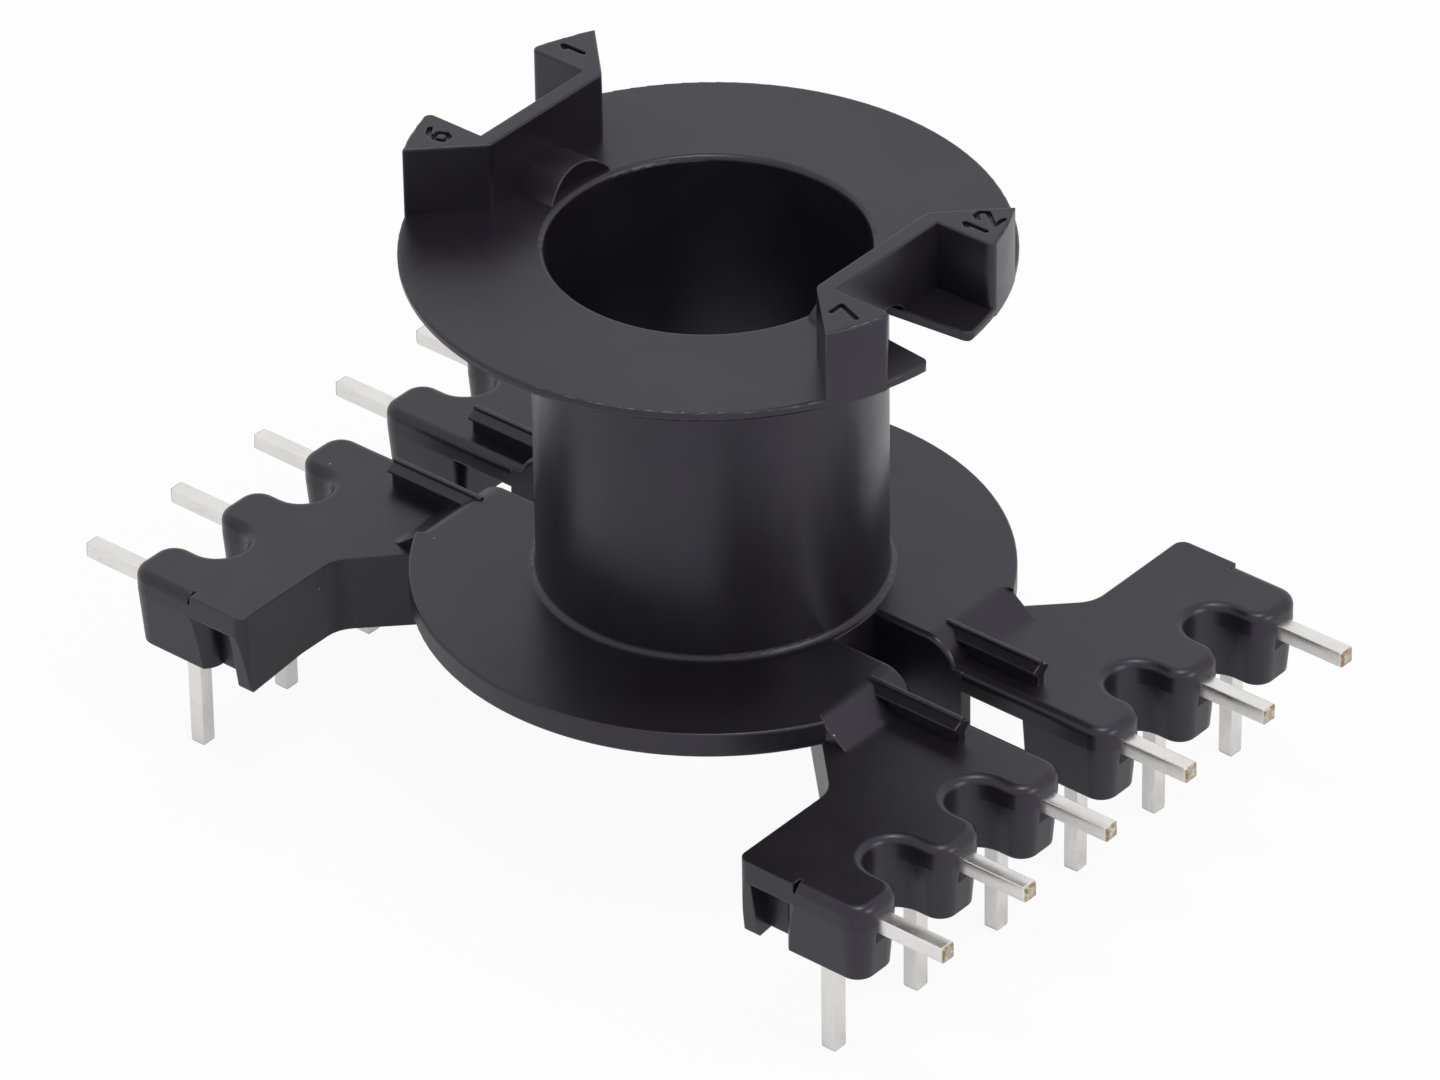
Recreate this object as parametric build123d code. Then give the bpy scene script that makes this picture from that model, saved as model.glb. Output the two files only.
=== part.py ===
from build123d import *
import os
from math import asin, atan2, cos, degrees, hypot, radians, sin, sqrt, tan

os.makedirs("parts", exist_ok=True)

# A coil former for a round-post ferrite core: one moulded body and twelve L-shaped pins.
# The origin is on the bore axis at the level of the pin tips. X runs from pin row to
# pin row, Y runs along the rows and Z is up. The body is the same in all four quadrants,
# so most shapes are drawn for positive X and Y and then mirrored.

# Pins
pin_pitch = 5.08
row_spacing = 33.02
pins_per_row = 6
pin_side = 0.70
wire_leg_reach = 5.73
wire_leg_drop = 1.02
pin_bend_radius = 0.35
pin_tip_chamfer = 0.08

# Coil tube
bore_diameter = 12.90
tube_wall = 0.65
bore_edge_radius = 0.25
tube_foot_radius = 0.30

# Flanges
flange_diameter = 24.40
seat_height = 8.00
lower_flange_thickness = 1.10
winding_width = 14.60
upper_flange_thickness = 0.40
rim_edge_radius = 0.12

# Lower wire slot: its inner end is closed round the tube's foot, and the borders on its two sides
# round over on to the pin blocks
slot_back_offset = 0.36
border_edge_radius = 0.25
lip_start = 9.90
lip_radius = 1.48

# Wire ramp, where the lower flange slopes down on to a pin block
ramp_top = 10.35
ramp_foot = 11.65
ramp_reach = 5.95
ramp_edge_radius = 0.80

# Pin blocks: a plate a little above the core seat, with fingers that are placed from the pin row
plate_rise = 0.10
block_plate_thickness = 1.00
block_height = 3.44
groove_width = 2.40
groove_inset = 0.16
finger_reach = 2.49
finger_draft = 4.70
finger_corner_radius = 0.95
finger_top_radius = 0.42
finger_heel_radius = 0.95
spine_inset = 2.05
spine_setback = 0.45
web_lap = 0.41
notch_inset = 0.89
notch_width = 0.14
notch_depth = 0.45
notch_height = 0.42

# Skirt that borders the core: straight, then at 45 degrees in under the flange
skirt_face = 12.85
skirt_thickness = 0.65
skirt_diagonal_offset = 4.50
skirt_corner_radius = 1.50
skirt_end_lean = 0.40
skirt_drop = 0.38
skirt_drop_run = 3.50
skirt_toe = 0.22
skirt_nose_radius = 0.45
end_recess_depth = 1.00
end_wall_thickness = 0.80
slot_wall_thickness = 0.60
slot_wall_end = 11.75

# Wire guide ribs on the block plates, with an undercut cap
rib_centre = 2.50
rib_height = 1.08
rib_crest_width = 0.20
rib_crest_height = 0.16
rib_cap_width = 0.92
rib_cap_drop = 0.36
rib_cap_edge = 0.10
rib_neck_width = 0.36
rib_neck_drop = 0.70
rib_inset = 1.76

# Upper walls that centre the core plate
wall_height = 3.00
wall_inner = 8.25
wall_thickness = 0.78
wall_straight = 3.40
wall_corner_radius = 0.50
wall_edge_radius = 0.10
post_side = 3.08
post_corner_radius = 0.30

# Upper wire passage: a slot that widens from the tube to the rim, and an arched duct over the flange
passage_width = 1.46
passage_flare = 5.70
passage_corner_radius = 0.35
duct_roof = 0.45
duct_setback = 0.30
duct_width = 3.60
duct_height = 1.00
hollow_width = 2.10

# Pin numbers sunk in the tops of the wall posts
digit_height = 1.05
digit_width = 0.62
digit_stroke = 0.24
digit_depth = 0.15
digit_gap = 0.20
digit_inset_x = 2.15
digit_inset_y = 1.07

# Wedge-shaped pocket in each finger tip, under the pin
pocket_height = 0.62
pocket_depth = 0.45
pocket_side_gap = 0.05

# Overlap between shapes that are joined, and how far a cut runs past a face
bite = 0.30
past = 1.00

# Worked out from the sizes above
bore_radius = bore_diameter / 2
tube_radius = bore_radius + tube_wall
flange_radius = flange_diameter / 2
wall_middle = (bore_radius + tube_radius) / 2
slot_back_radius = tube_radius + slot_back_offset
lower_top = seat_height + lower_flange_thickness
upper_under = lower_top + winding_width
upper_top = upper_under + upper_flange_thickness
wall_top = upper_top + wall_height
wall_outer = wall_inner + wall_thickness
duct_front = bore_radius + duct_setback
block_top = seat_height + plate_rise
plate_under = block_top - block_plate_thickness
block_bottom = block_top - block_height
skirt_bottom = block_bottom - skirt_drop
wire_leg_height = block_top - wire_leg_drop
row_x = row_spacing / 2
groove_floor = row_x - groove_inset
finger_tip = row_x + finger_reach
spine_inner = row_x - spine_inset
finger_inner = spine_inner + web_lap
notch_start = row_x - notch_inset
rib_end = row_x - rib_inset
finger_width = pin_pitch - groove_width
finger_ys = [(i + 0.5) * pin_pitch for i in range(pins_per_row // 2)]
groove_ys = [(a + b) / 2 for a, b in zip(finger_ys, finger_ys[1:])]
slot_half = finger_ys[0] - finger_width / 2
block_end = finger_ys[-1] + finger_width / 2
end_wall = block_end - end_recess_depth
rib_top = block_top + rib_height
ramp_ease = ramp_edge_radius * tan(atan2(lower_top - block_top, ramp_foot - ramp_top) / 2)
ramp_start = ramp_top - ramp_ease


def box(x0, x1, y0, y1, z0, z1):
    """A block between two corners."""
    return Pos((x0 + x1) / 2, (y0 + y1) / 2, (z0 + z1) / 2) * Box(x1 - x0, y1 - y0, z1 - z0)


def cylinder(radius, z0, z1, x=0.0, y=0.0):
    """An upright cylinder between two levels."""
    return Pos(x, y, (z0 + z1) / 2) * Cylinder(radius, z1 - z0)


def raised(outline, z0, z1):
    """A closed plan outline raised between two levels."""
    return Pos(0, 0, z0) * extrude(make_face(outline), z1 - z0, dir=(0, 0, 1))


def plan(points, z0, z1):
    """A plan polygon raised between two levels."""
    return raised(Polyline(*points, close=True), z0, z1)


def bar_along_y(points, y0, y1):
    """An outline in X and Z carried along Y."""
    face = make_face(Polyline(*[(x, y0, z) for x, z in points], close=True))
    return extrude(face, y1 - y0, dir=(0, 1, 0))


def bar_along_x(points, x0, x1):
    """An outline in Y and Z carried along X."""
    face = make_face(Polyline(*[(x0, y, z) for y, z in points], close=True))
    return extrude(face, x1 - x0, dir=(1, 0, 0))


def both_ends(shape):
    """The shape and its mirror image at the other pin row."""
    return shape + mirror(shape, Plane.YZ)


def all_quadrants(shape):
    """The shape, mirrored into all four quadrants."""
    return both_ends(shape + mirror(shape, Plane.XZ))


def upright_edges(shape, x, y0, y1):
    """The upright edges at one X whose Y lies in a range."""
    edges = shape.edges().filter_by(Axis.Z)
    return [e for e in edges if abs(e.center().X - x) < 0.01 and y0 < e.center().Y < y1]


def cross_edge(shape, x, z):
    """The edge along Y at one X and one level."""
    edges = shape.edges().filter_by(Axis.Y)
    return [e for e in edges if abs(e.center().X - x) < 0.01 and abs(e.center().Z - z) < 0.01]


def round_edges(shape, radius):
    """The edges of a shape that lie on a circle of one radius."""
    return [e for e in shape.edges().filter_by(GeomType.CIRCLE) if abs(e.radius - radius) < 0.01]


def lower_flange():
    """The lower flange, cut back at both ends to where the ramps leave it."""
    slope = ramp_reach / sqrt(flange_radius ** 2 - ramp_reach ** 2)
    far = flange_radius + past
    end = plan([(ramp_start, -ramp_start * slope), (far, -far * slope), (far, far * slope),
                (ramp_start, ramp_start * slope)], seat_height - past, lower_top + past)
    shape = cylinder(flange_radius, seat_height, lower_top) - both_ends(end)
    return fillet(round_edges(shape, flange_radius), rim_edge_radius)


def upper_flange():
    """The thin upper flange."""
    shape = cylinder(flange_radius, upper_under, upper_top)
    return fillet(round_edges(shape, flange_radius), rim_edge_radius)


def spool():
    """The tube with its two flanges and the bore right through."""
    shape = lower_flange() + upper_flange() + cylinder(tube_radius, seat_height, upper_top)
    foot = [e for e in round_edges(shape, tube_radius) if abs(e.center().Z - lower_top) < 0.01]
    shape = fillet(foot, tube_foot_radius)
    shape -= cylinder(bore_radius, seat_height - past, upper_top + past)
    return fillet(round_edges(shape, bore_radius), bore_edge_radius)


def slot_cut():
    """What the wire slot and its borders take from the lower flange, at one end."""
    low, high = seat_height - past, lower_top + past
    cut = box(0, ramp_top + past, -rib_centre, rib_centre, low, lower_top)
    cut += box(0, ramp_top + past, -slot_half, slot_half, low, high)
    return cut - cylinder(slot_back_radius, low - past, high + past)


def border():
    """The border of the wire slot, level with the flange and then rounded over on to the block."""
    arc = CenterArc((lip_start, lower_top - lip_radius), lip_radius, 90, -90)
    foot, step = lip_start + lip_radius, ramp_top - bite
    back = Polyline(arc @ 1, (foot, plate_under), (step, plate_under), (step, seat_height),
                    (0, seat_height), (0, lower_top), arc @ 0)
    face = Plane.XZ * make_face(arc + back)
    strip = Pos(0, slot_half, 0) * extrude(face, rib_centre - slot_half, dir=(0, 1, 0))
    top = [e for e in strip.edges() if abs(e.center().Y - slot_half) < 0.01 and e.center().Z > block_top]
    strip = fillet([e for e in top if e.center().X > past], border_edge_radius)
    return strip - cylinder(wall_middle, seat_height - past, lower_top + past)


def ramp():
    """The slope from the flange down to the block plate, rounded over its top and into its foot."""
    inner, outer = ramp_start - bite, ramp_foot + ramp_ease + bite
    profile = [(inner, seat_height), (inner, lower_top), (ramp_top, lower_top), (ramp_foot, block_top),
               (outer, block_top), (outer, seat_height)]
    bar = bar_along_y(profile, rib_centre, ramp_reach)
    bends = cross_edge(bar, ramp_top, lower_top) + cross_edge(bar, ramp_foot, block_top)
    return fillet(bends, ramp_edge_radius)


def rib():
    """A guide rib: a narrow crest on sloping shoulders, over an undercut neck."""
    crest, cap, neck = rib_crest_width / 2, rib_cap_width / 2, rib_neck_width / 2
    side = [(crest, rib_top), (crest, rib_top - rib_crest_height), (cap, rib_top - rib_cap_drop),
            (cap, rib_top - rib_cap_drop - rib_cap_edge), (neck, rib_top - rib_neck_drop),
            (neck, plate_under)]
    outline = [(rib_centre + y, z) for y, z in side] + [(rib_centre - y, z) for y, z in reversed(side)]
    return bar_along_x(outline, ramp_top - bite, rib_end)


def beyond_core(inset):
    """All that lies outside the core's outline, set back from it by a wall thickness."""
    face = skirt_face + inset
    offset = skirt_diagonal_offset + inset * sqrt(2)
    far = finger_tip + past
    shape = plan([(offset, 0), (face, face - offset), (face, block_end), (far, block_end), (far, 0)],
                 skirt_bottom, block_top)
    corner = upright_edges(shape, face, 0, block_end - past)
    return fillet(corner, skirt_corner_radius + inset)


def core_side():
    """All that lies outside the core's outline, with the block's end corner rounded."""
    shape = beyond_core(0)
    return fillet(upright_edges(shape, skirt_face, block_end - bite, block_end + bite), skirt_nose_radius)


def skirt():
    """The thin wall along the core, from the block's end in to the tube, with a toe at the block's end."""
    wall = core_side() - beyond_core(skirt_thickness)
    wall &= box(0, finger_inner, slot_half, block_end, skirt_bottom, seat_height)
    toe, low = block_end - skirt_end_lean, skirt_bottom - past
    end = [(block_end, plate_under), (block_end + past, plate_under), (block_end + past, low),
           (toe - skirt_toe, low), (toe - skirt_toe, skirt_bottom), (toe, skirt_bottom + skirt_toe)]
    foot = [(0, block_bottom), (block_end - skirt_drop_run, block_bottom), (block_end, skirt_bottom),
            (block_end, low), (0, low)]
    for outline in (end, foot):
        wall -= bar_along_x(outline, 0, finger_tip)
    return wall - cylinder(wall_middle, low, seat_height + past)


def slot_wall():
    """The wall under the flange that lines one side of the wire slot."""
    wall = box(0, slot_wall_end, slot_half, slot_half + slot_wall_thickness, block_bottom, seat_height)
    return (wall & beyond_core(0)) - cylinder(wall_middle, block_bottom - past, seat_height + past)


def slot_back():
    """The wall under the flange that closes the slot's inner end, round the tube."""
    half = slot_half + slot_wall_thickness / 2
    ring = cylinder(slot_back_radius, block_bottom, seat_height + bite)
    ring -= cylinder(wall_middle, block_bottom - past, seat_height + past)
    return ring & box(0, slot_back_radius + past, -half, half, block_bottom, seat_height + bite)


def finger_plan():
    """The plan outline of the spine and its fingers, with round-ended grooves between them."""
    width, length = finger_tip - spine_inner, block_end - slot_half
    face = Pos((spine_inner + finger_tip) / 2, (slot_half + block_end) / 2) * Rectangle(width, length)
    radius = groove_width / 2
    for y in groove_ys:
        face -= Pos(groove_floor + radius, y) * Circle(radius)
        face -= Pos(groove_floor + radius + width / 2, y) * Rectangle(width, groove_width)
    corners = [v for v in face.vertices() if v.X > finger_tip - 0.01]
    return fillet(corners, finger_corner_radius)


def block_cap():
    """The block's top: the plate and the finger tops, with rounded edges all round the fingers."""
    cap = core_side() & box(ramp_top - bite, finger_inner, slot_half, block_end, plate_under, block_top)
    cap += Pos(0, 0, plate_under) * extrude(finger_plan(), block_plate_thickness, dir=(0, 0, 1))
    cap -= box(notch_start, notch_start + notch_width, block_end - notch_depth, block_end + past,
               block_top - notch_height, block_top + past)
    rounded = []
    for edge in cap.faces().filter_by(Axis.Z).sort_by(Axis.Z)[-1].edges():
        middle = edge.center()
        at_fingers = middle.X > notch_start + notch_width + 0.1
        if at_fingers or abs(middle.Y - slot_half) < 0.01:
            rounded.append(edge)
    return fillet(rounded, finger_top_radius)


def finger_legs():
    """The spine and fingers below the plate, drawn in with a mould draft towards their foot."""
    height = plate_under - block_bottom
    legs = extrude(Pos(0, 0, plate_under) * finger_plan(), height, dir=(0, 0, -1), taper=finger_draft)
    legs -= box(spine_inner - past, finger_inner, slot_half - past, slot_half + spine_setback,
                block_bottom - past, plate_under)
    return legs - end_recess()


def end_recess():
    """What the recess at a block's end takes from the spine, with the last finger's heel rounded."""
    low, far = block_bottom - past, block_end + past
    x, y = finger_inner + finger_heel_radius, block_end - finger_heel_radius
    heel = box(finger_inner, x, y, far, low, plate_under)
    heel -= cylinder(finger_heel_radius, low - past, block_top, x, y)
    return heel + box(spine_inner - past, finger_inner, end_wall, far, low, plate_under)


def block():
    """One pin block, for positive X and Y, with the holes that hold its pins."""
    end_web = box(skirt_face + bite, finger_inner, end_wall - end_wall_thickness, end_wall,
                  block_bottom, plate_under)
    shape = block_cap() + finger_legs() + skirt() + slot_wall() + end_web + border() + ramp() + rib()
    for y in finger_ys:
        shape -= pocket(y)
        shape -= pin_blank(y)
    return shape


def upper_wall():
    """One wall on the upper flange with its two corner posts."""
    far = flange_radius + past
    outer_y = wall_straight + far - wall_inner
    half = plan([(wall_inner, 0), (wall_inner, wall_straight), (far, outer_y), (far, post_side),
                 (wall_outer, post_side), (wall_outer, 0)], upper_under, wall_top)
    half = fillet(upright_edges(half, wall_inner, past, outer_y), wall_corner_radius)
    half = half & cylinder(flange_radius, upper_under, wall_top)
    half = fillet(half.edges().filter_by(Axis.Z).sort_by(Axis.X)[-1], post_corner_radius)
    wall = half + mirror(half, Plane.XZ)
    return fillet(wall.faces().sort_by(Axis.Z)[-1].edges(), wall_edge_radius)


def arch(width, height, x0, x1):
    """A low arch, a circle segment standing on the upper flange, carried along X."""
    half = width / 2
    radius = (half ** 2 + height ** 2) / (2 * height)
    angle = degrees(asin(half / radius))
    arc = CenterArc((0, upper_top + height - radius), radius, 90 - angle, 2 * angle)
    face = make_face(arc + Line(arc @ 1, arc @ 0))
    return extrude(Plane.YZ.offset(x0) * face, x1 - x0)


def duct():
    """The arch over the upper wire passage, from the bore's rim out to the wall."""
    root = box(duct_front, wall_inner + bite, -duct_width / 2, duct_width / 2, upper_under, upper_top)
    shape = arch(duct_width, duct_height, 0, wall_inner + bite) + root
    return shape - cylinder(duct_front, upper_under - past, wall_top)


def half_passage(x):
    """Half the width of the passage's slot at one X."""
    return passage_width / 2 + (x - tube_radius) * tan(radians(passage_flare))


def mouth_centre():
    """The centre of the circle that rounds a corner of the mouth, and touches the slot's side and the rim."""
    flare, reach = radians(passage_flare), flange_radius - passage_corner_radius
    x = bore_radius - passage_corner_radius * sin(flare)
    y = half_passage(bore_radius) + passage_corner_radius * cos(flare)
    along = x * cos(flare) + y * sin(flare)
    run = sqrt(along ** 2 + reach ** 2 - x ** 2 - y ** 2) - along
    return x + run * cos(flare), y + run * sin(flare)


def mouth():
    """What rounds off one corner of the wire passage at the flange's rim."""
    x, y = mouth_centre()
    side = x + passage_corner_radius * sin(radians(passage_flare))
    beyond = (flange_radius + past) / (flange_radius - passage_corner_radius)
    wedge = plan([(side, 0), (side, half_passage(side)), (x, y), (x * beyond, y * beyond), (x * beyond, 0)],
                 upper_under - past, upper_top)
    return wedge - cylinder(passage_corner_radius, upper_under - 2 * past, wall_top, x, y)


def passage():
    """The wire passage: a slot in the flange and the hollow under the arch."""
    inner, outer = half_passage(bore_radius), half_passage(flange_radius + past)
    slot = plan([(bore_radius, -inner), (flange_radius + past, -outer), (flange_radius + past, outer),
                 (bore_radius, inner)], upper_under - past, upper_top)
    slot += mouth() + mirror(mouth(), Plane.XZ)
    hollow = arch(hollow_width, duct_height - duct_roof, 0, wall_outer + past)
    return (slot + hollow) - cylinder(tube_radius, upper_under - 2 * past, wall_top)


def stroke(points):
    """A line of even width with round ends, cut into the post tops."""
    floor, ceiling = wall_top - digit_depth, wall_top + past
    cut = cylinder(digit_stroke / 2, floor, ceiling, *points[0])
    for (x0, y0), (x1, y1) in zip(points, points[1:]):
        bar = box(0, hypot(x1 - x0, y1 - y0), -digit_stroke / 2, digit_stroke / 2, floor, ceiling)
        cut += Pos(x0, y0, 0) * Rot(0, 0, degrees(atan2(y1 - y0, x1 - x0))) * bar
        cut += cylinder(digit_stroke / 2, floor, ceiling, x1, y1)
    return cut


def digit(name, x, y):
    """One figure, read with its top towards negative X, centred at a point."""
    w, h = digit_width / 2, digit_height / 2
    lines = {
        "1": [(-0.6 * w, 0.55 * h), (0, h), (0, -h)],
        "2": [(-w, 0.55 * h), (-0.5 * w, h), (0.5 * w, h), (w, 0.5 * h), (-w, -h), (w, -h)],
        "6": [(0.7 * w, h), (-0.5 * w, 0.55 * h), (-w, -0.3 * h), (-0.55 * w, -h), (0.55 * w, -h),
              (w, -0.5 * h), (0.55 * w, 0.05 * h), (-0.75 * w, 0)],
        "7": [(-w, h), (w, h), (-0.3 * w, -h)],
    }
    return stroke([(x - v, y + u) for u, v in lines[name]])


def number(text, x, y):
    """A pin number on one post, its figures side by side along Y."""
    step = digit_width + digit_gap
    start = y - step * (len(text) - 1) / 2
    return [digit(name, x, start + step * i) for i, name in enumerate(text)]


def numbers():
    """The numbers of the four corner pins."""
    x, y = wall_inner + digit_inset_x, post_side + digit_inset_y
    return number("1", -x, y) + number("6", -x, -y) + number("7", x, -y) + number("12", x, y)


def pocket(y):
    """The wedge-shaped pocket under the pin in one finger tip."""
    top = wire_leg_height - pin_side / 2
    outline = [(finger_tip + past, top), (finger_tip - pocket_depth, top),
               (finger_tip, top - pocket_height), (finger_tip + past, top - pocket_height)]
    half = pin_side / 2 + pocket_side_gap
    return bar_along_y(outline, y - half, y + half)


def pin_blank(y):
    """One L-shaped pin at positive X: a wire leg outwards and a solder leg down."""
    half = pin_side / 2
    level = wire_leg_height
    shape = box(row_x - half, row_x + wire_leg_reach, y - half, y + half, level - half, level + half)
    shape += box(row_x - half, row_x + half, y - half, y + half, 0, level + half)
    shape = fillet(cross_edge(shape, row_x + half, level - half), pin_bend_radius)
    return fillet(cross_edge(shape, row_x - half, level + half), pin_bend_radius + pin_side)


def pin(y):
    """A pin blank with its two cut ends eased."""
    blank = pin_blank(y)
    ends = [blank.faces().sort_by(Axis.X)[-1], blank.faces().sort_by(Axis.Z)[0]]
    return chamfer([e for face in ends for e in face.edges()], pin_tip_chamfer)


def body():
    """The whole moulded body, without the lone faces that the last cut leaves behind."""
    walls = both_ends(upper_wall())
    for cut in numbers():
        walls -= cut
    shape = spool() - both_ends(slot_cut())
    shape += all_quadrants(block()) + both_ends(slot_back())
    shape += walls + both_ends(duct())
    shape -= both_ends(passage())
    return Compound([solid for solid in shape.solids() if len(solid.faces()) > 1])


def pins():
    """The twelve pins by number: down the negative row, then back up the positive one."""
    ys = sorted(finger_ys + [-y for y in finger_ys])
    near = [pin(y) for y in ys]
    far = [mirror(shape, Plane.YZ) for shape in reversed(near)]
    return far + near


export_step(body(), "parts/coil_former.step")
for count, shape in enumerate(pins(), start=1):
    export_step(shape, f"parts/terminal_pin_{count:02d}.step")
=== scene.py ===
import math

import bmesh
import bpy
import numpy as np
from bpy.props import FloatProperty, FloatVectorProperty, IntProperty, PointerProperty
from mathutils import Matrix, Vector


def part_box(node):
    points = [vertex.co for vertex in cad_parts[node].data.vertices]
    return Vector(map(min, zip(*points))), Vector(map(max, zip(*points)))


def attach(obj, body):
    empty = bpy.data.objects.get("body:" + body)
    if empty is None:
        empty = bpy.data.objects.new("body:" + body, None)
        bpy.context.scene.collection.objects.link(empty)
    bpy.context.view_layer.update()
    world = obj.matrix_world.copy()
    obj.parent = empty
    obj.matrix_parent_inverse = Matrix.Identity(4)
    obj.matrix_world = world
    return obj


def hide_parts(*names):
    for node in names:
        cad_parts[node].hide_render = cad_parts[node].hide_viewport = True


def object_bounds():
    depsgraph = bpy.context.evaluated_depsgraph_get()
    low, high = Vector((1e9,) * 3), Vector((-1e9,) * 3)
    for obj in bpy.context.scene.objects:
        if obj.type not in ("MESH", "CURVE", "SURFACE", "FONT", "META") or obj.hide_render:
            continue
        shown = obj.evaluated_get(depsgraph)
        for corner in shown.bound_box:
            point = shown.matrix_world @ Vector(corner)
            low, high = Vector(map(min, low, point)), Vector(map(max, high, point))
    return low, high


bl_info = {
    "name": "Coil former looks",
    "version": (1, 0, 0),
    "blender": (4, 5, 0),
    "location": "View3D > Sidebar > Coil former",
    "description": "Finishes a moulded coil former with tinned pins and sets it on a pale studio floor",
    "category": "Object",
}

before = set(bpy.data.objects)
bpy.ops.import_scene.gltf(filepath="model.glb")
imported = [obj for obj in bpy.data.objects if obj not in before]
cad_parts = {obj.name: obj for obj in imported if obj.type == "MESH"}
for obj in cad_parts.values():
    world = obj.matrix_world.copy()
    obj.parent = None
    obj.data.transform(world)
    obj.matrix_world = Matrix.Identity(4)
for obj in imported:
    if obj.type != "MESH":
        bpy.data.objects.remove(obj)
cad_low, cad_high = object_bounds()

MM = 0.001
QUARTER_TURN = math.pi / 2
WHITE = (1.0, 1.0, 1.0, 1.0)
BODY_NODE = "coil_former"
PIN_NODES = sorted(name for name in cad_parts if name.startswith("terminal_pin"))


# Settings

class MouldingSettings(bpy.types.PropertyGroup):
    """The finish of the black moulding."""

    colour: FloatVectorProperty(
        name="Colour", description="The resin's own colour", subtype="COLOR",
        size=3, min=0.0, max=1.0, default=(0.0082, 0.0070, 0.0100))
    pale_colour: FloatVectorProperty(
        name="Pale colour", description="The resin where its skin is a little worn", subtype="COLOR",
        size=3, min=0.0, max=1.0, default=(0.014, 0.013, 0.015))
    # Lighter colour along outer edges: partly real rubbing of the resin, partly a painted highlight.
    worn_and_highlight_colour: FloatVectorProperty(
        name="Worn colour", description="The resin along rubbed edges", subtype="COLOR",
        size=3, min=0.0, max=1.0, default=(0.060, 0.057, 0.058))
    dust_colour: FloatVectorProperty(
        name="Dust colour", description="The few specks that lie on the skin", subtype="COLOR",
        size=3, min=0.0, max=1.0, default=(0.42, 0.40, 0.37))
    gloss_tint: FloatVectorProperty(
        name="Gloss tint", description="The faint violet of the skin's reflections", subtype="COLOR",
        size=3, min=0.0, max=1.0, default=(0.87, 0.84, 1.0))
    roughness: FloatProperty(
        name="Roughness", description="How dull the moulded skin is",
        min=0.0, max=1.0, default=0.32)
    edge_radius: FloatProperty(
        name="Edge radius", description="How far the light rolls round a moulded edge, in mm",
        min=0.0, max=0.5, default=0.10)
    # This reach also sets how wide the painted highlight along outer edges spreads.
    wear_and_highlight_reach: FloatProperty(
        name="Wear reach", description="How far from an outer edge the skin is rubbed, in mm",
        min=0.01, max=0.5, default=0.10)
    grain_size: FloatProperty(
        name="Grain size", description="The size of the skin's fine grain, in mm",
        min=0.02, max=2.0, default=0.16)
    grain_depth: FloatProperty(
        name="Grain depth", description="The depth of the fine grain, in mm",
        min=0.0, max=0.05, default=0.0035)


class PinSettings(bpy.types.PropertyGroup):
    """The shape and finish of the tinned pins."""

    colour: FloatVectorProperty(
        name="Tin colour", description="The colour of the plating", subtype="COLOR",
        size=3, min=0.0, max=1.0, default=(0.84, 0.83, 0.81))
    dull_colour: FloatVectorProperty(
        name="Dull colour", description="The plating where it is streaked or tarnished", subtype="COLOR",
        size=3, min=0.0, max=1.0, default=(0.66, 0.65, 0.62))
    core_colour: FloatVectorProperty(
        name="Core colour", description="The bare wire that shows round the cut ends", subtype="COLOR",
        size=3, min=0.0, max=1.0, default=(0.34, 0.22, 0.10))
    sheared_colour: FloatVectorProperty(
        name="Sheared colour", description="The smeared metal in the middle of the cut ends",
        subtype="COLOR", size=3, min=0.0, max=1.0, default=(0.40, 0.35, 0.26))
    roughness: FloatProperty(
        name="Roughness", description="How dull the plating is",
        min=0.0, max=1.0, default=0.26)
    corner_radius: FloatProperty(
        name="Corner radius", description="The radius of the wire's four edges, in mm",
        min=0.01, max=0.3, default=0.05)
    bend_radius: FloatProperty(
        name="Bend radius", description="The inner radius of the bend, in mm",
        min=0.05, max=2.0, default=0.35)
    end_bevel: FloatProperty(
        name="End bevel", description="The bevel round a cut end, in mm",
        min=0.01, max=0.3, default=0.09)
    twist: FloatProperty(
        name="Twist", description="The most that a leg is turned about its own line", subtype="ANGLE",
        min=0.0, max=0.3, default=math.radians(2.5))
    seed: IntProperty(
        name="Seed", description="Picks how each pin differs from the next", default=7)


class StageSettings(bpy.types.PropertyGroup):
    """The camera, the floor and the lights."""

    azimuth: FloatProperty(
        name="Azimuth", description="The camera's bearing round the bore axis", subtype="ANGLE",
        default=math.radians(40.14))
    elevation: FloatProperty(
        name="Elevation", description="The camera's height above the horizon", subtype="ANGLE",
        default=math.radians(34.02))
    roll: FloatProperty(
        name="Roll", description="The camera's turn about its own axis", subtype="ANGLE",
        default=math.radians(-0.83))
    distance: FloatProperty(
        name="Distance", description="From the camera to the point it looks at", subtype="DISTANCE",
        unit="LENGTH", default=0.3992)
    aim: FloatVectorProperty(
        name="Aim", description="Right and up, from the bore axis at the aim height to the frame's centre",
        size=2, subtype="TRANSLATION", unit="LENGTH", default=(0.00032, -0.00162))
    aim_height: FloatProperty(
        name="Aim height", description="The level on the bore axis that the aim is taken from",
        subtype="DISTANCE", unit="LENGTH", default=0.012)
    focal_pixels: FloatProperty(
        name="Focal length", description="The focal length in pixels of a frame 1440 wide",
        default=10008.7)
    floor_size: FloatProperty(
        name="Floor size", description="The side of the square floor", subtype="DISTANCE",
        unit="LENGTH", default=6.0)
    floor_colour: FloatVectorProperty(
        name="Floor colour", description="The colour of the floor", subtype="COLOR",
        size=3, min=0.0, max=1.0, default=(0.95, 0.95, 0.95))
    dome_strength: FloatProperty(
        name="Dome", description="The strength of the light from all round",
        min=0.0, max=3.0, default=0.60)
    key_power: FloatProperty(
        name="Key light", description="The power of the lamp high above", subtype="POWER",
        unit="POWER", min=0.0, default=0.40)
    side_power: FloatProperty(
        name="Side light", description="The power of the lamp at the right", subtype="POWER",
        unit="POWER", min=0.0, default=0.45)


# Mesh helpers

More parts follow.
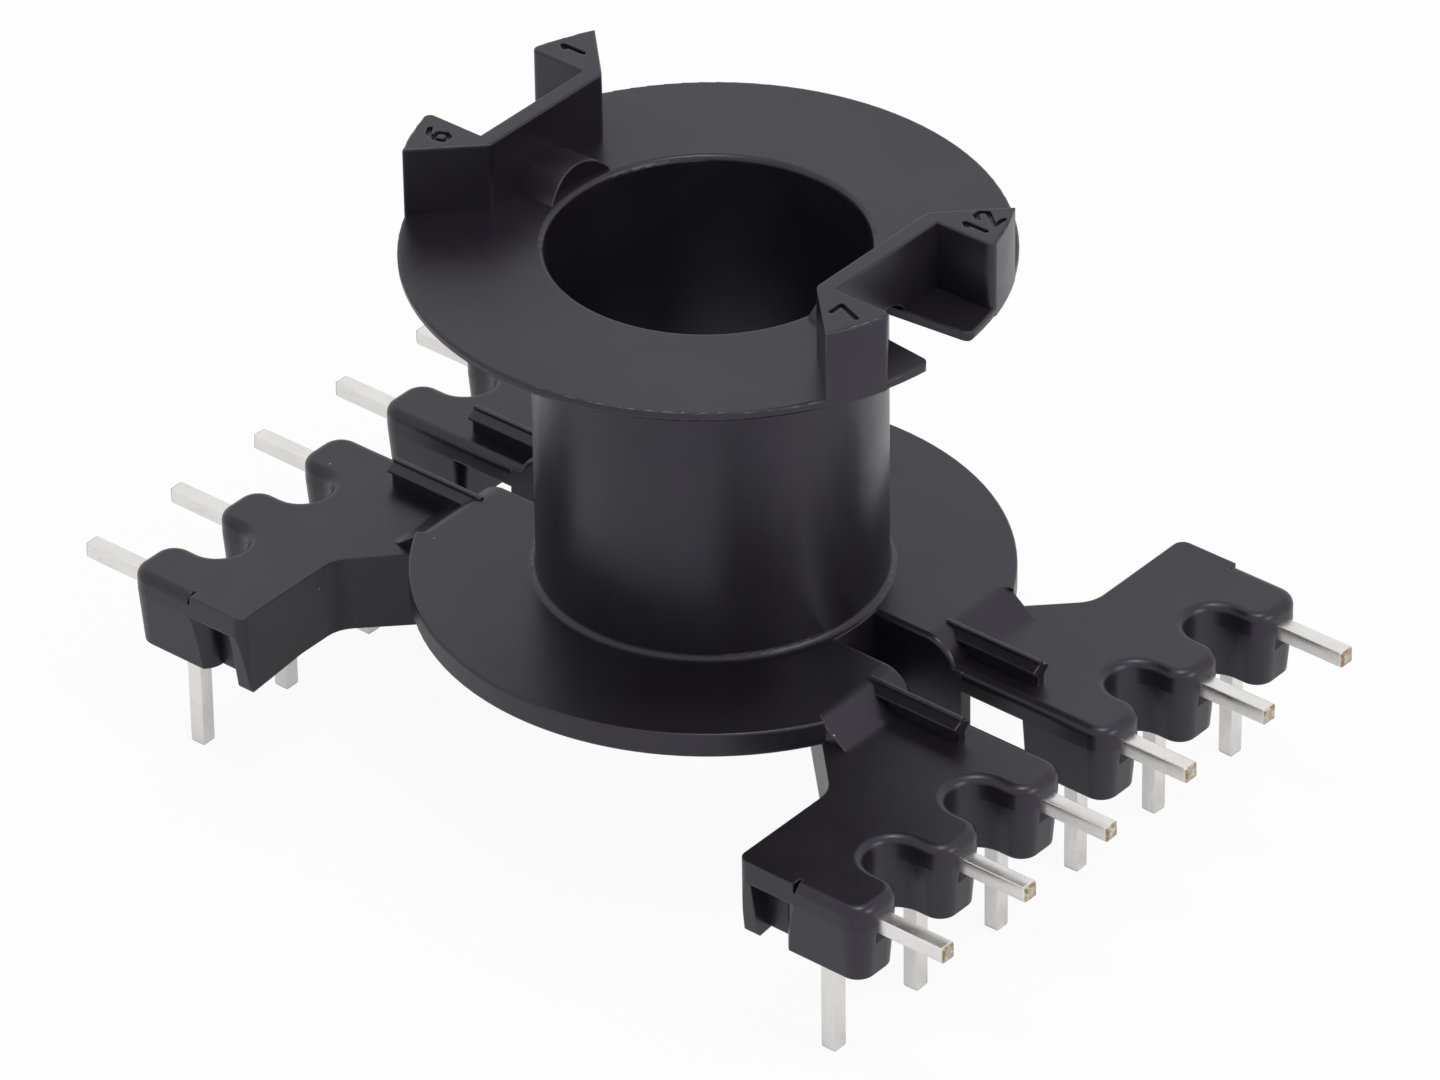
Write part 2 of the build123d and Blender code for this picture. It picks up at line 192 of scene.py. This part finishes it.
def mesh_object(name, vertices, faces):
    """A mesh object at the origin, with its faces turned outwards."""
    mesh = bpy.data.meshes.new(name)
    mesh.from_pydata(vertices.tolist(), [], faces)
    draft = bmesh.new()
    draft.from_mesh(mesh)
    bmesh.ops.recalc_face_normals(draft, faces=draft.faces)
    draft.to_mesh(mesh)
    draft.free()
    thing = bpy.data.objects.new(name, mesh)
    bpy.context.scene.collection.objects.link(thing)
    return thing


def swept_faces(rings, around):
    """Quads between neighbouring rings of a closed sweep, and a fan of triangles on each end's pole.

    Vertex 0 and the last vertex are the poles. Ring i holds the vertices from 1 + i * around onwards.
    """
    ring, spoke = np.meshgrid(np.arange(rings - 1), np.arange(around), indexing="ij")
    following = (spoke + 1) % around
    corner = 1 + ring * around
    quads = np.stack([corner + spoke, corner + following,
                      corner + around + following, corner + around + spoke], axis=-1).reshape(-1, 4)
    spokes = np.arange(around)
    after = (spokes + 1) % around
    last = rings * around + 1
    first_fan = np.stack([np.zeros_like(spokes), 1 + after, 1 + spokes], axis=-1)
    last_fan = np.stack([np.full_like(spokes, last), last - around + spokes, last - around + after], axis=-1)
    return quads.tolist() + first_fan.tolist() + last_fan.tolist()


def set_attribute(thing, name, values):
    """One number, or one place, for each vertex, for the material to read."""
    kind, field = ("FLOAT", "value") if values.ndim == 1 else ("FLOAT_VECTOR", "vector")
    attribute = thing.data.attributes.new(name, kind, "POINT")
    attribute.data.foreach_set(field, values.astype(np.float32).ravel())


# Material helpers

def new_material(name):
    """A node material with a Principled shader on its output."""
    material = bpy.data.materials.new(name)
    material.use_nodes = True
    tree = material.node_tree
    tree.nodes.clear()
    shader = tree.nodes.new("ShaderNodeBsdfPrincipled")
    output = add_node(tree, "ShaderNodeOutputMaterial", {"Surface": shader.outputs["BSDF"]})
    return material, tree, shader, output


def add_node(tree, kind, inputs=None, **settings):
    """A node with its settings made and each input either linked to a socket or set to a value."""
    made = tree.nodes.new(kind)
    for name, value in settings.items():
        setattr(made, name, value)
    for name, value in (inputs or {}).items():
        plug(tree, made.inputs[name], value)
    return made


def plug(tree, socket, value):
    """Links a socket to another socket, or sets its value."""
    if isinstance(value, bpy.types.NodeSocket):
        tree.links.new(value, socket)
    else:
        socket.default_value = value


def noise(tree, place, size_mm, detail, roughness=0.5):
    """Noise of one feature size, from 0 to 1, on a place in metres."""
    made = add_node(tree, "ShaderNodeTexNoise", {
        "Vector": place, "Scale": 1.0 / (size_mm * MM), "Detail": detail, "Roughness": roughness})
    return made.outputs["Fac"]


def remap(tree, value, low, high, to_low=0.0, to_high=1.0):
    """A value's stretch from low to high, moved to another stretch and held at its ends."""
    made = add_node(tree, "ShaderNodeMapRange", {
        "Value": value, "From Min": low, "From Max": high, "To Min": to_low, "To Max": to_high})
    return made.outputs["Result"]


def maths(tree, operation, first, second):
    """One step of arithmetic on two numbers or sockets."""
    return add_node(tree, "ShaderNodeMath", {0: first, 1: second}, operation=operation).outputs["Value"]


def blend_colours(tree, share, first, second):
    """The first colour at share 0 and the second at share 1."""
    made = add_node(tree, "ShaderNodeMix", {"Factor": share, "A": first, "B": second}, data_type="RGBA")
    return made.outputs["Result"]


def blend_shaders(tree, share, first, second):
    """The first shader at share 0 and the second at share 1."""
    return add_node(tree, "ShaderNodeMixShader", {"Fac": share, 1: first, 2: second}).outputs["Shader"]


def relief(tree, height, depth_mm, normal, strength=1.0):
    """A normal bent by a height from 0 to 1 of the given depth."""
    made = add_node(tree, "ShaderNodeBump", {
        "Strength": strength, "Distance": depth_mm * MM, "Height": height, "Normal": normal})
    return made.outputs["Normal"]


def opaque(colour):
    """A colour with full alpha."""
    return (*colour, 1.0)


# Moulded body

# Noise in the skin: the size of its features in mm, its detail and its roughness
FLOW_NOISE = (5.0, 3.0, 0.5)
PATCH_NOISE = (1.6, 4.0, 0.6)
WAVE_NOISE = (3.2, 1.0, 0.5)
GRAIN_DETAIL = 2.0

# Where a look starts and where it is full, and then its least and its most share, if not 0 and 1
THIN_FADE = (0.95, 0.55)
ROLL_FADE = (0.0, 0.25)
PALE_FADE = (0.35, 0.75)
# The next fade breaks the lightening of outer edges, partly rubbing and partly painted highlight, into patches.
RUB_AND_HIGHLIGHT_FADE = (0.40, 0.65, 0.10, 0.70)
SPECK_FADE = (0.030, 0.022)
GLOSS_FADE = (0.25, 0.75)

EDGE_SAMPLES = 8
WAVE_DEPTH = 0.02
WAVE_STRENGTH = 0.25
SPECK_SPACING = 1.6
CLEAN_CELLS = 0.90
GLOSSIER, DULLER = 0.03, 0.05
DUST_DULLNESS = 0.3
RESIN_IOR = 1.54


def outer_edge(tree, reach_mm):
    """1 close to an outer edge, where the solid is thin behind its skin, and 0 on faces and inner corners."""
    behind = add_node(tree, "ShaderNodeAmbientOcclusion", {"Distance": reach_mm * MM},
                      samples=EDGE_SAMPLES, inside=True, only_local=True)
    return remap(tree, behind.outputs["AO"], *THIN_FADE)


def softened(tree, radius_mm, outer):
    """The normal rolled over outer edges, and left alone in inner corners."""
    flat = add_node(tree, "ShaderNodeNewGeometry").outputs["Normal"]
    rolled = add_node(tree, "ShaderNodeBevel", {"Radius": radius_mm * MM}, samples=EDGE_SAMPLES)
    mixed = add_node(tree, "ShaderNodeMix", {
        "Factor": remap(tree, outer, *ROLL_FADE), "A": flat, "B": rolled.outputs["Normal"]},
        data_type="VECTOR")
    return add_node(tree, "ShaderNodeVectorMath", {0: mixed.outputs["Result"]},
                    operation="NORMALIZE").outputs["Vector"]


def specks(tree, place):
    """Sparse round specks: near the centre of a few of the cells, 1 on a speck and 0 off it."""
    cells = add_node(tree, "ShaderNodeTexVoronoi", {"Vector": place, "Scale": 1.0 / (SPECK_SPACING * MM)})
    near = remap(tree, cells.outputs["Distance"], *SPECK_FADE)
    chance = add_node(tree, "ShaderNodeSeparateColor", {"Color": cells.outputs["Color"]}).outputs["Red"]
    return maths(tree, "MULTIPLY", near, maths(tree, "GREATER_THAN", chance, CLEAN_CELLS))


def resin_colour(tree, settings, place, rubbed_and_highlit, dust):
    """The resin's own colour, paler in broad patches, with outer edges lightened, partly as rubbing and partly
    as a painted highlight, and specks over it.
    """
    pale = remap(tree, noise(tree, place, *FLOW_NOISE), *PALE_FADE)
    colour = blend_colours(tree, pale, opaque(settings.colour), opaque(settings.pale_colour))
    colour = blend_colours(tree, rubbed_and_highlit, colour, opaque(settings.worn_and_highlight_colour))
    return blend_colours(tree, dust, colour, opaque(settings.dust_colour))


def resin_skin(tree, settings, place, outer):
    """The moulded surface: rolled edges, then the mould's faint waves, then the fine grain."""
    skin = softened(tree, settings.edge_radius, outer)
    skin = relief(tree, noise(tree, place, *WAVE_NOISE), WAVE_DEPTH, skin, WAVE_STRENGTH)
    return relief(tree, noise(tree, place, settings.grain_size, GRAIN_DETAIL), settings.grain_depth, skin)


def moulding_material(settings):
    """Black thermoset with a satin skin: fine grain, faint waves, outer edges lightened as partly rubbing and
    partly painted highlight, and a few specks.
    """
    material, tree, shader, _ = new_material("moulded_body")
    place = add_node(tree, "ShaderNodeTexCoord").outputs["Object"]
    patch = noise(tree, place, *PATCH_NOISE)
    outer = outer_edge(tree, settings.wear_and_highlight_reach)
    # Outer edges lightened in patches: partly real rubbing, partly a painted highlight.
    rubbed_and_highlit = maths(tree, "MULTIPLY", outer, remap(tree, patch, *RUB_AND_HIGHLIGHT_FADE))
    dust = specks(tree, place)
    rough = remap(tree, patch, *GLOSS_FADE, settings.roughness - GLOSSIER, settings.roughness + DULLER)
    dusty = maths(tree, "MULTIPLY", dust, DUST_DULLNESS)
    plug(tree, shader.inputs["Base Color"], resin_colour(tree, settings, place, rubbed_and_highlit, dust))
    plug(tree, shader.inputs["Roughness"], maths(tree, "ADD", rough, dusty))
    plug(tree, shader.inputs["Normal"], resin_skin(tree, settings, place, outer))
    shader.inputs["IOR"].default_value = RESIN_IOR
    shader.inputs["Specular Tint"].default_value = opaque(settings.gloss_tint)
    return material


class COILFORMER_OT_moulding(bpy.types.Operator):
    """Gives the moulded body its black satin skin"""

    bl_idname = "coilformer.moulding"
    bl_label = "Finish the moulding"

    def execute(self, context):
        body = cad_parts[BODY_NODE]
        body.data.materials.clear()
        body.data.materials.append(moulding_material(context.scene.coilformer_moulding))
        return {"FINISHED"}


# Shape of the pins

CORNER_POINTS = 5
WIRE_RINGS = 60

# The rings of a cut end, from its middle out to the full wire: how far in, in bevels, and how large
END_PLACES = np.array([0.0, 0.0, 0.0, 0.35, 1.0])
END_SCALES = np.array([0.30, 0.62, 0.80, 0.93, 1.0])
MIDDLE_CUT = 0.2

# How far the drawn marks are stretched, and how far they are moved on from pin to pin and row to row
MARK_STRETCH = 0.06
MARK_SHIFT = 0.01
ROW_SHIFT = 3.0


def square_ring(half, radius):
    """The outline of a square with round corners: at each corner, a quarter circle of the given radius.

    A point is the corner circle's centre plus radius times (cos a, sin a), with a running through the
    quarter that belongs to the corner.
    """
    quarter = np.arange(4)[:, None] * QUARTER_TURN
    angle = quarter + np.linspace(0.0, QUARTER_TURN, CORNER_POINTS)[None, :]
    middle = quarter + QUARTER_TURN / 2
    centre = (half - radius) * math.sqrt(2.0)
    along = centre * np.cos(middle) + radius * np.cos(angle)
    across = centre * np.sin(middle) + radius * np.sin(angle)
    return np.stack([along.ravel(), across.ravel()], axis=-1)


def bent_line(places, rise, radius):
    """The centre line of an L at each place along it: up for a rise, round a quarter circle, and out.

    The turn is the way past the rise over the radius, held between 0 and a quarter circle. The bend's
    points are radius times (1 - cos, sin) of the turn. Gives the way out, the height and the turn.
    """
    turn = np.clip((places - rise) / radius, 0.0, QUARTER_TURN)
    straight = np.maximum(places - rise - radius * QUARTER_TURN, 0.0)
    out = radius * (1.0 - np.cos(turn)) + straight
    up = np.minimum(places, rise) + radius * np.sin(turn)
    return out, up, turn


def pin_stations(length, bevel):
    """How far along the wire each ring lies, and how large it is: small on the cut ends, full between."""
    middle = np.linspace(2.0 * bevel, length - 2.0 * bevel, WIRE_RINGS)
    places = np.concatenate([END_PLACES * bevel, middle, length - END_PLACES[::-1] * bevel])
    scales = np.concatenate([END_SCALES, np.ones_like(middle), END_SCALES[::-1]])
    return places, scales


def turned_ring(ring, scales, twist):
    """The wire's outline at each station, scaled and turned by that station's twist.

    It is drawn in by cos minus sin of the twist as well, so that its corners stay in the straight wire.
    """
    size = (scales * (np.cos(np.abs(twist)) - np.sin(np.abs(twist))))[:, None]
    cos, sin = np.cos(twist)[:, None], np.sin(twist)[:, None]
    return size * (ring[:, 0] * cos - ring[:, 1] * sin), size * (ring[:, 0] * sin + ring[:, 1] * cos)


def pin_marks(places, scales, ring, shift):
    """What the tin reads at each vertex: its size on a cut end, and its place along and across the wire.

    The place along the wire is shrunk, which draws the marks out, and shifted, which makes pins differ.
    """
    cut = np.repeat(np.where(scales < 1.0, scales, 0.0), ring.shape[0])
    along = MARK_STRETCH * places + shift
    drawn = np.stack(np.broadcast_arrays(along[:, None], ring[None, :, 0], ring[None, :, 1]), axis=-1)
    pole = np.zeros((1, 3))
    return (np.concatenate([[MIDDLE_CUT], cut, [MIDDLE_CUT]]),
            np.concatenate([pole, drawn.reshape(-1, 3), pole]))


def pin_surface(low, high, side, settings, variation):
    """One pin: a rounded square swept up, round the bend and out, with bevelled cut ends.

    Point (s, a) is the centre line at s plus the outline's point a, scaled down near the ends and turned
    by a small twist that grows along each leg.
    """
    half = (high.y - low.y) / 2
    bend = settings.bend_radius * MM + half
    rise = high.z - half - bend
    reach = high.x - low.x - half - bend
    length = rise + bend * QUARTER_TURN + reach
    places, scales = pin_stations(length, settings.end_bevel * MM)
    past_bend = np.clip((places - rise) / (length - rise), 0.0, 1.0)
    below_bend = np.clip((rise - places) / rise, 0.0, 1.0)
    twist = settings.twist * (variation[0] * past_bend + variation[1] * below_bend)
    ring = square_ring(half, settings.corner_radius * MM)
    along, across = turned_ring(ring, scales, twist)
    out, up, turn = bent_line(places, rise, bend)
    root = low.x + half if side > 0 else high.x - half
    middle = (low.y + high.y) / 2
    x = root + side * (out[:, None] + along * np.cos(turn)[:, None])
    z = up[:, None] - along * np.sin(turn)[:, None]
    grid = np.stack([x, middle + across, z], axis=-1)
    foot, tip = (root, middle, 0.0), (root + side * out[-1], middle, up[-1])
    vertices = np.concatenate([[foot], grid.reshape(-1, 3), [tip]])
    cut, drawn = pin_marks(places, scales, ring, MARK_SHIFT * (variation[0] + ROW_SHIFT * side))
    return vertices, swept_faces(*grid.shape[:2]), cut, drawn


# Finish of the pins

# Noise in the plating: the size of its features in mm, its detail and its roughness
CLOUD_NOISE = (1.4, 2.0, 0.5)
LINE_NOISE = (0.09, 3.0, 0.6)
PIT_NOISE = (0.10, 1.0, 0.5)
TEAR_NOISE = (0.25, 3.0, 0.7)

# Where a look starts and where it is full, and then its least and its most share, if not 0 and 1
DULL_CLOUD_FADE = (0.38, 0.62)
DULL_LINE_FADE = (0.42, 0.62, 0.0, 0.4)
PIT_FADE = (0.73, 0.79)
SMEAR_CUT_FADE = (0.0, 0.2)
SMEAR_TEAR_FADE = (0.35, 0.60, 0.35, 1.0)
BARE_CUT_FADE = (0.40, 0.85)
BARE_TEAR_FADE = (0.35, 0.55)
SHINE_FADE = (0.3, 0.7)

PIT_SHARE = 0.4
SHINIER, CLOUDIER = 0.05, 0.06
CUT_DULLNESS = 0.2

# Depth in mm and strength of the relief
LINE_DEPTH, LINE_STRENGTH = 0.0012, 0.3
PIT_DEPTH, PIT_STRENGTH = 0.01, 0.5
TEAR_DEPTH, TEAR_STRENGTH = 0.06, 0.6


def tin_colour(tree, settings, cloud, lines, pits):
    """The plating, duller along the drawn lines inside clouds, and bare in the pits."""
    dull = maths(tree, "MULTIPLY", remap(tree, cloud, *DULL_CLOUD_FADE), remap(tree, lines, *DULL_LINE_FADE))
    tin = blend_colours(tree, dull, opaque(settings.colour), opaque(settings.dull_colour))
    return blend_colours(tree, maths(tree, "MULTIPLY", pits, PIT_SHARE), tin, opaque(settings.core_colour))


def cut_colour(tree, settings, tin, cut, tear):
    """The cut ends over the plating: smeared metal in their middle, and torn patches of bare wire at the rim."""
    smeared = maths(tree, "MULTIPLY", remap(tree, cut, *SMEAR_CUT_FADE), remap(tree, tear, *SMEAR_TEAR_FADE))
    bare = maths(tree, "MULTIPLY", remap(tree, cut, *BARE_CUT_FADE), remap(tree, tear, *BARE_TEAR_FADE))
    colour = blend_colours(tree, smeared, tin, opaque(settings.sheared_colour))
    return blend_colours(tree, bare, colour, opaque(settings.core_colour))


def tin_skin(tree, lines, pits, cut, tear):
    """The wire's surface: fine drawn lines, small pits, and ragged cut ends."""
    skin = add_node(tree, "ShaderNodeNewGeometry").outputs["Normal"]
    skin = relief(tree, lines, LINE_DEPTH, skin, LINE_STRENGTH)
    skin = relief(tree, maths(tree, "SUBTRACT", 1.0, pits), PIT_DEPTH, skin, PIT_STRENGTH)
    return relief(tree, maths(tree, "MULTIPLY", cut, tear), TEAR_DEPTH, skin, TEAR_STRENGTH)


def tin_material(settings):
    """Bright tin with marks drawn along the wire, and bare wire in patches on the cut ends."""
    material, tree, shader, _ = new_material("tinned_wire")
    place = add_node(tree, "ShaderNodeTexCoord").outputs["Object"]
    drawn = add_node(tree, "ShaderNodeAttribute", attribute_name="drawn").outputs["Vector"]
    cut = add_node(tree, "ShaderNodeAttribute", attribute_name="cut").outputs["Fac"]
    cloud = noise(tree, place, *CLOUD_NOISE)
    lines = noise(tree, drawn, *LINE_NOISE)
    tear = noise(tree, place, *TEAR_NOISE)
    pits = remap(tree, noise(tree, place, *PIT_NOISE), *PIT_FADE)
    tin = tin_colour(tree, settings, cloud, lines, pits)
    rough = remap(tree, cloud, *SHINE_FADE, settings.roughness - SHINIER, settings.roughness + CLOUDIER)
    torn = maths(tree, "MULTIPLY", cut, CUT_DULLNESS)
    plug(tree, shader.inputs["Base Color"], cut_colour(tree, settings, tin, cut, tear))
    plug(tree, shader.inputs["Roughness"], maths(tree, "ADD", rough, torn))
    plug(tree, shader.inputs["Normal"], tin_skin(tree, lines, pits, cut, tear))
    shader.inputs["Metallic"].default_value = 1.0
    return material


class COILFORMER_OT_pins(bpy.types.Operator):
    """Builds the tinned pins over the plain ones"""

    bl_idname = "coilformer.pins"
    bl_label = "Make the pins"

    def execute(self, context):
        settings = context.scene.coilformer_pins
        material = tin_material(settings)
        random = np.random.default_rng(settings.seed)
        for node in PIN_NODES:
            low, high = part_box(node)
            side = 1 if low.x > 0 else -1
            vertices, faces, cut, drawn = pin_surface(low, high, side, settings, random.uniform(-1.0, 1.0, 2))
            piece = mesh_object(node.replace("terminal_pin", "tinned_pin"), vertices, faces)
            set_attribute(piece, "cut", cut)
            set_attribute(piece, "drawn", drawn)
            piece.data.shade_smooth()
            piece.modifiers.new("even_shading", "WEIGHTED_NORMAL")
            piece.data.materials.append(material)
            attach(piece, "root")
            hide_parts(node)
        return {"FINISHED"}


# Stage

# How much of pure white the floor and the dome show to the camera, and in reflections
FLOOR_SEEN, FLOOR_MIRRORED = 0.93, 0.40
DOME_SEEN, DOME_MIRRORED = 1.0, 0.75
FLOOR_ROUGHNESS = 0.9

# Places and sides of the soft lamps in metres
KEY_PLACE, KEY_SIDE = (0.06, -0.02, 0.42), 0.10
SIDE_PLACE, SIDE_SIDE = (0.42, 0.05, 0.22), 0.20

PHOTO_WIDTH = 1440
SENSOR_WIDTH = 36.0
NEAR_CLIP, FAR_CLIP = 0.01, 20.0


def seen_background(tree, seen, mirrored):
    """One share for a ray from the camera, one for a reflection or glass, 0 for a ray that gathers light."""
    path = add_node(tree, "ShaderNodeLightPath").outputs
    bounced = maths(tree, "MAXIMUM", path["Is Glossy Ray"], path["Is Transmission Ray"])
    return maths(tree, "MAXIMUM", maths(tree, "MULTIPLY", path["Is Camera Ray"], seen),
                 maths(tree, "MULTIPLY", bounced, mirrored))


def floor_material(settings):
    """A pale matt floor that shows near white, keeps a faint shadow, and is clear to a camera below it."""
    material, tree, shader, output = new_material("studio_floor")
    shader.inputs["Base Color"].default_value = opaque(settings.floor_colour)
    shader.inputs["Roughness"].default_value = FLOOR_ROUGHNESS
    shader.inputs["Specular IOR Level"].default_value = 0.0
    glow = add_node(tree, "ShaderNodeEmission", {"Color": WHITE, "Strength": 1.0})
    clear = add_node(tree, "ShaderNodeBsdfTransparent")
    from_above = blend_shaders(tree, seen_background(tree, FLOOR_SEEN, FLOOR_MIRRORED),
                               shader.outputs["BSDF"], glow.outputs["Emission"])
    camera_below = maths(tree, "MULTIPLY", add_node(tree, "ShaderNodeNewGeometry").outputs["Backfacing"],
                         add_node(tree, "ShaderNodeLightPath").outputs["Is Camera Ray"])
    plug(tree, output.inputs["Surface"],
         blend_shaders(tree, camera_below, from_above, clear.outputs["BSDF"]))
    return material


def make_floor(settings):
    """A flat square floor at the level of the pin tips."""
    corners = np.array([(-0.5, -0.5, 0.0), (0.5, -0.5, 0.0), (0.5, 0.5, 0.0), (-0.5, 0.5, 0.0)])
    corners *= settings.floor_size
    floor = mesh_object("studio_floor", corners, [(0, 1, 2, 3)])
    floor.data.materials.append(floor_material(settings))


def make_world(settings):
    """A white surround that lights the object evenly from all round."""
    world = bpy.data.worlds.new("studio_dome")
    world.use_nodes = True
    tree = world.node_tree
    tree.nodes.clear()
    shown = seen_background(tree, DOME_SEEN, DOME_MIRRORED)
    strength = remap(tree, shown, 0.0, 1.0, settings.dome_strength, 1.0)
    dome = add_node(tree, "ShaderNodeBackground", {"Color": WHITE, "Strength": strength})
    add_node(tree, "ShaderNodeOutputWorld", {"Surface": dome.outputs["Background"]})
    bpy.context.scene.world = world


def make_softbox(name, place, side, power):
    """A square soft light that faces the middle of the object."""
    lamp = bpy.data.lights.new(name, "AREA")
    lamp.shape = "SQUARE"
    lamp.size = side
    lamp.energy = power
    thing = bpy.data.objects.new(name, lamp)
    thing.location = place
    target = Vector((0.0, 0.0, cad_high.z / 2))
    thing.rotation_euler = (target - thing.location).to_track_quat("-Z", "Y").to_euler()
    bpy.context.scene.collection.objects.link(thing)


def make_camera(settings):
    """The photo's view: the back direction from azimuth and elevation, then the roll about it."""
    azimuth, elevation = settings.azimuth, settings.elevation
    back = Vector((math.sin(azimuth) * math.cos(elevation),
                   -math.cos(azimuth) * math.cos(elevation), math.sin(elevation)))
    level = Vector((math.cos(azimuth), math.sin(azimuth), 0.0))
    rise = back.cross(level)
    right = math.cos(settings.roll) * level + math.sin(settings.roll) * rise
    up = math.cos(settings.roll) * rise - math.sin(settings.roll) * level
    aim = Vector((0.0, 0.0, settings.aim_height)) + settings.aim[0] * right + settings.aim[1] * up
    turned = Matrix((right, up, back)).transposed()
    data = bpy.data.cameras.new("photo_camera")
    data.sensor_width = SENSOR_WIDTH
    data.lens = settings.focal_pixels / PHOTO_WIDTH * SENSOR_WIDTH
    data.clip_start = NEAR_CLIP
    data.clip_end = FAR_CLIP
    camera = bpy.data.objects.new("photo_camera", data)
    camera.matrix_world = Matrix.Translation(aim + settings.distance * back) @ turned.to_4x4()
    bpy.context.scene.collection.objects.link(camera)
    bpy.context.scene.camera = camera


class COILFORMER_OT_stage(bpy.types.Operator):
    """Sets the object on a pale floor, with soft light and the photo's camera"""

    bl_idname = "coilformer.stage"
    bl_label = "Set the stage"

    def execute(self, context):
        settings = context.scene.coilformer_stage
        make_floor(settings)
        make_world(settings)
        make_softbox("key_softbox", KEY_PLACE, KEY_SIDE, settings.key_power)
        make_softbox("side_softbox", SIDE_PLACE, SIDE_SIDE, settings.side_power)
        make_camera(settings)
        context.scene.view_settings.view_transform = "Standard"
        return {"FINISHED"}


# Panel and registration

class COILFORMER_PT_panel(bpy.types.Panel):
    """The coil former's steps and settings"""

    bl_idname = "COILFORMER_PT_panel"
    bl_label = "Coil former"
    bl_space_type = "VIEW_3D"
    bl_region_type = "UI"
    bl_category = "Coil former"

    def draw(self, context):
        steps = (("coilformer.moulding", context.scene.coilformer_moulding),
                 ("coilformer.pins", context.scene.coilformer_pins),
                 ("coilformer.stage", context.scene.coilformer_stage))
        for step, settings in steps:
            box = self.layout.box()
            box.operator(step)
            for name in settings.__annotations__:
                box.prop(settings, name)


CLASSES = (MouldingSettings, PinSettings, StageSettings, COILFORMER_OT_moulding, COILFORMER_OT_pins,
           COILFORMER_OT_stage, COILFORMER_PT_panel)


def register():
    """Adds the classes, and their settings on the scene."""
    for each in CLASSES:
        bpy.utils.register_class(each)
    bpy.types.Scene.coilformer_moulding = PointerProperty(type=MouldingSettings)
    bpy.types.Scene.coilformer_pins = PointerProperty(type=PinSettings)
    bpy.types.Scene.coilformer_stage = PointerProperty(type=StageSettings)


def unregister():
    """Takes the settings and the classes away again."""
    del bpy.types.Scene.coilformer_stage
    del bpy.types.Scene.coilformer_pins
    del bpy.types.Scene.coilformer_moulding
    for each in reversed(CLASSES):
        bpy.utils.unregister_class(each)


def main():
    """Builds everything: registers the add-on, finishes the moulding, makes the pins and sets the stage."""
    register()
    bpy.ops.coilformer.moulding()
    bpy.ops.coilformer.pins()
    bpy.ops.coilformer.stage()


if __name__ == "__main__":
    main()
